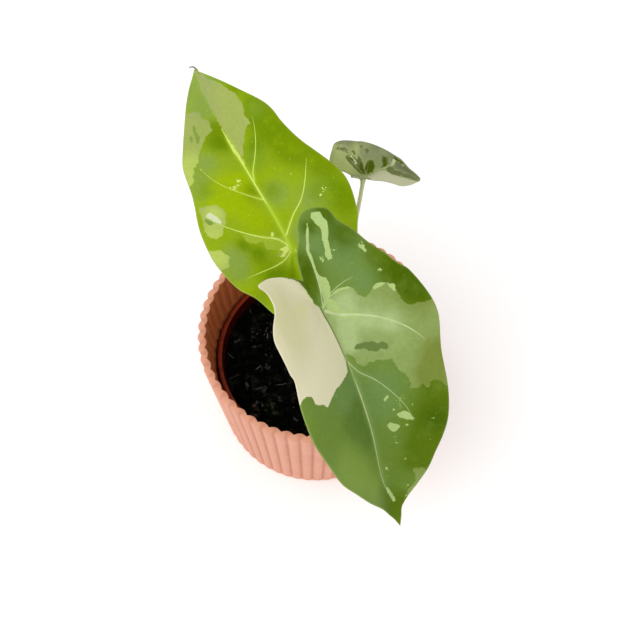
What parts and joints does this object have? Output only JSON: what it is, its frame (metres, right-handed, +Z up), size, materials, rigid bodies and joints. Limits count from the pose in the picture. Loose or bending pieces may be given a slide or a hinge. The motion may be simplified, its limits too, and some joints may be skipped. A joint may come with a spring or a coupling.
{
  "type": "potted alocasia",
  "caption": "Small potted alocasia with arrow-shaped variegated leaves on thin stalks, in a nursery pot of dark soil inside a fluted, slightly tapered cover pot.",
  "frame": {"origin": "centre of the cover pot's flat underside", "axes": "+Z up along the pot's axis; the large front leaf points towards -Y and +X, the pale leaf towards +Y and -X"},
  "size_m": [0.1136, 0.1812, 0.1638],
  "materials": {
    "cover_pot": "matt peach-pink",
    "nursery_pot": "smooth terracotta red-brown",
    "soil": "loose, nearly black",
    "stalk": "smooth pale green",
    "large_blade": "satin green with cream and pale green sectors",
    "pale_blade": "satin yellow-green with paler patches",
    "small_blade": "satin grey-green with darker blotches"
  },
  "bodies": {
    "root": {"cover_pot": "cover_pot", "nursery_pot": "nursery_pot", "soil": "soil", "large_leaf_stalk": "stalk", "large_leaf_blade": "large_blade", "pale_leaf_stalk": "stalk", "pale_leaf_blade": "pale_blade", "small_leaf_stalk": "stalk", "small_leaf_blade": "small_blade"}
  },
  "joints": []
}
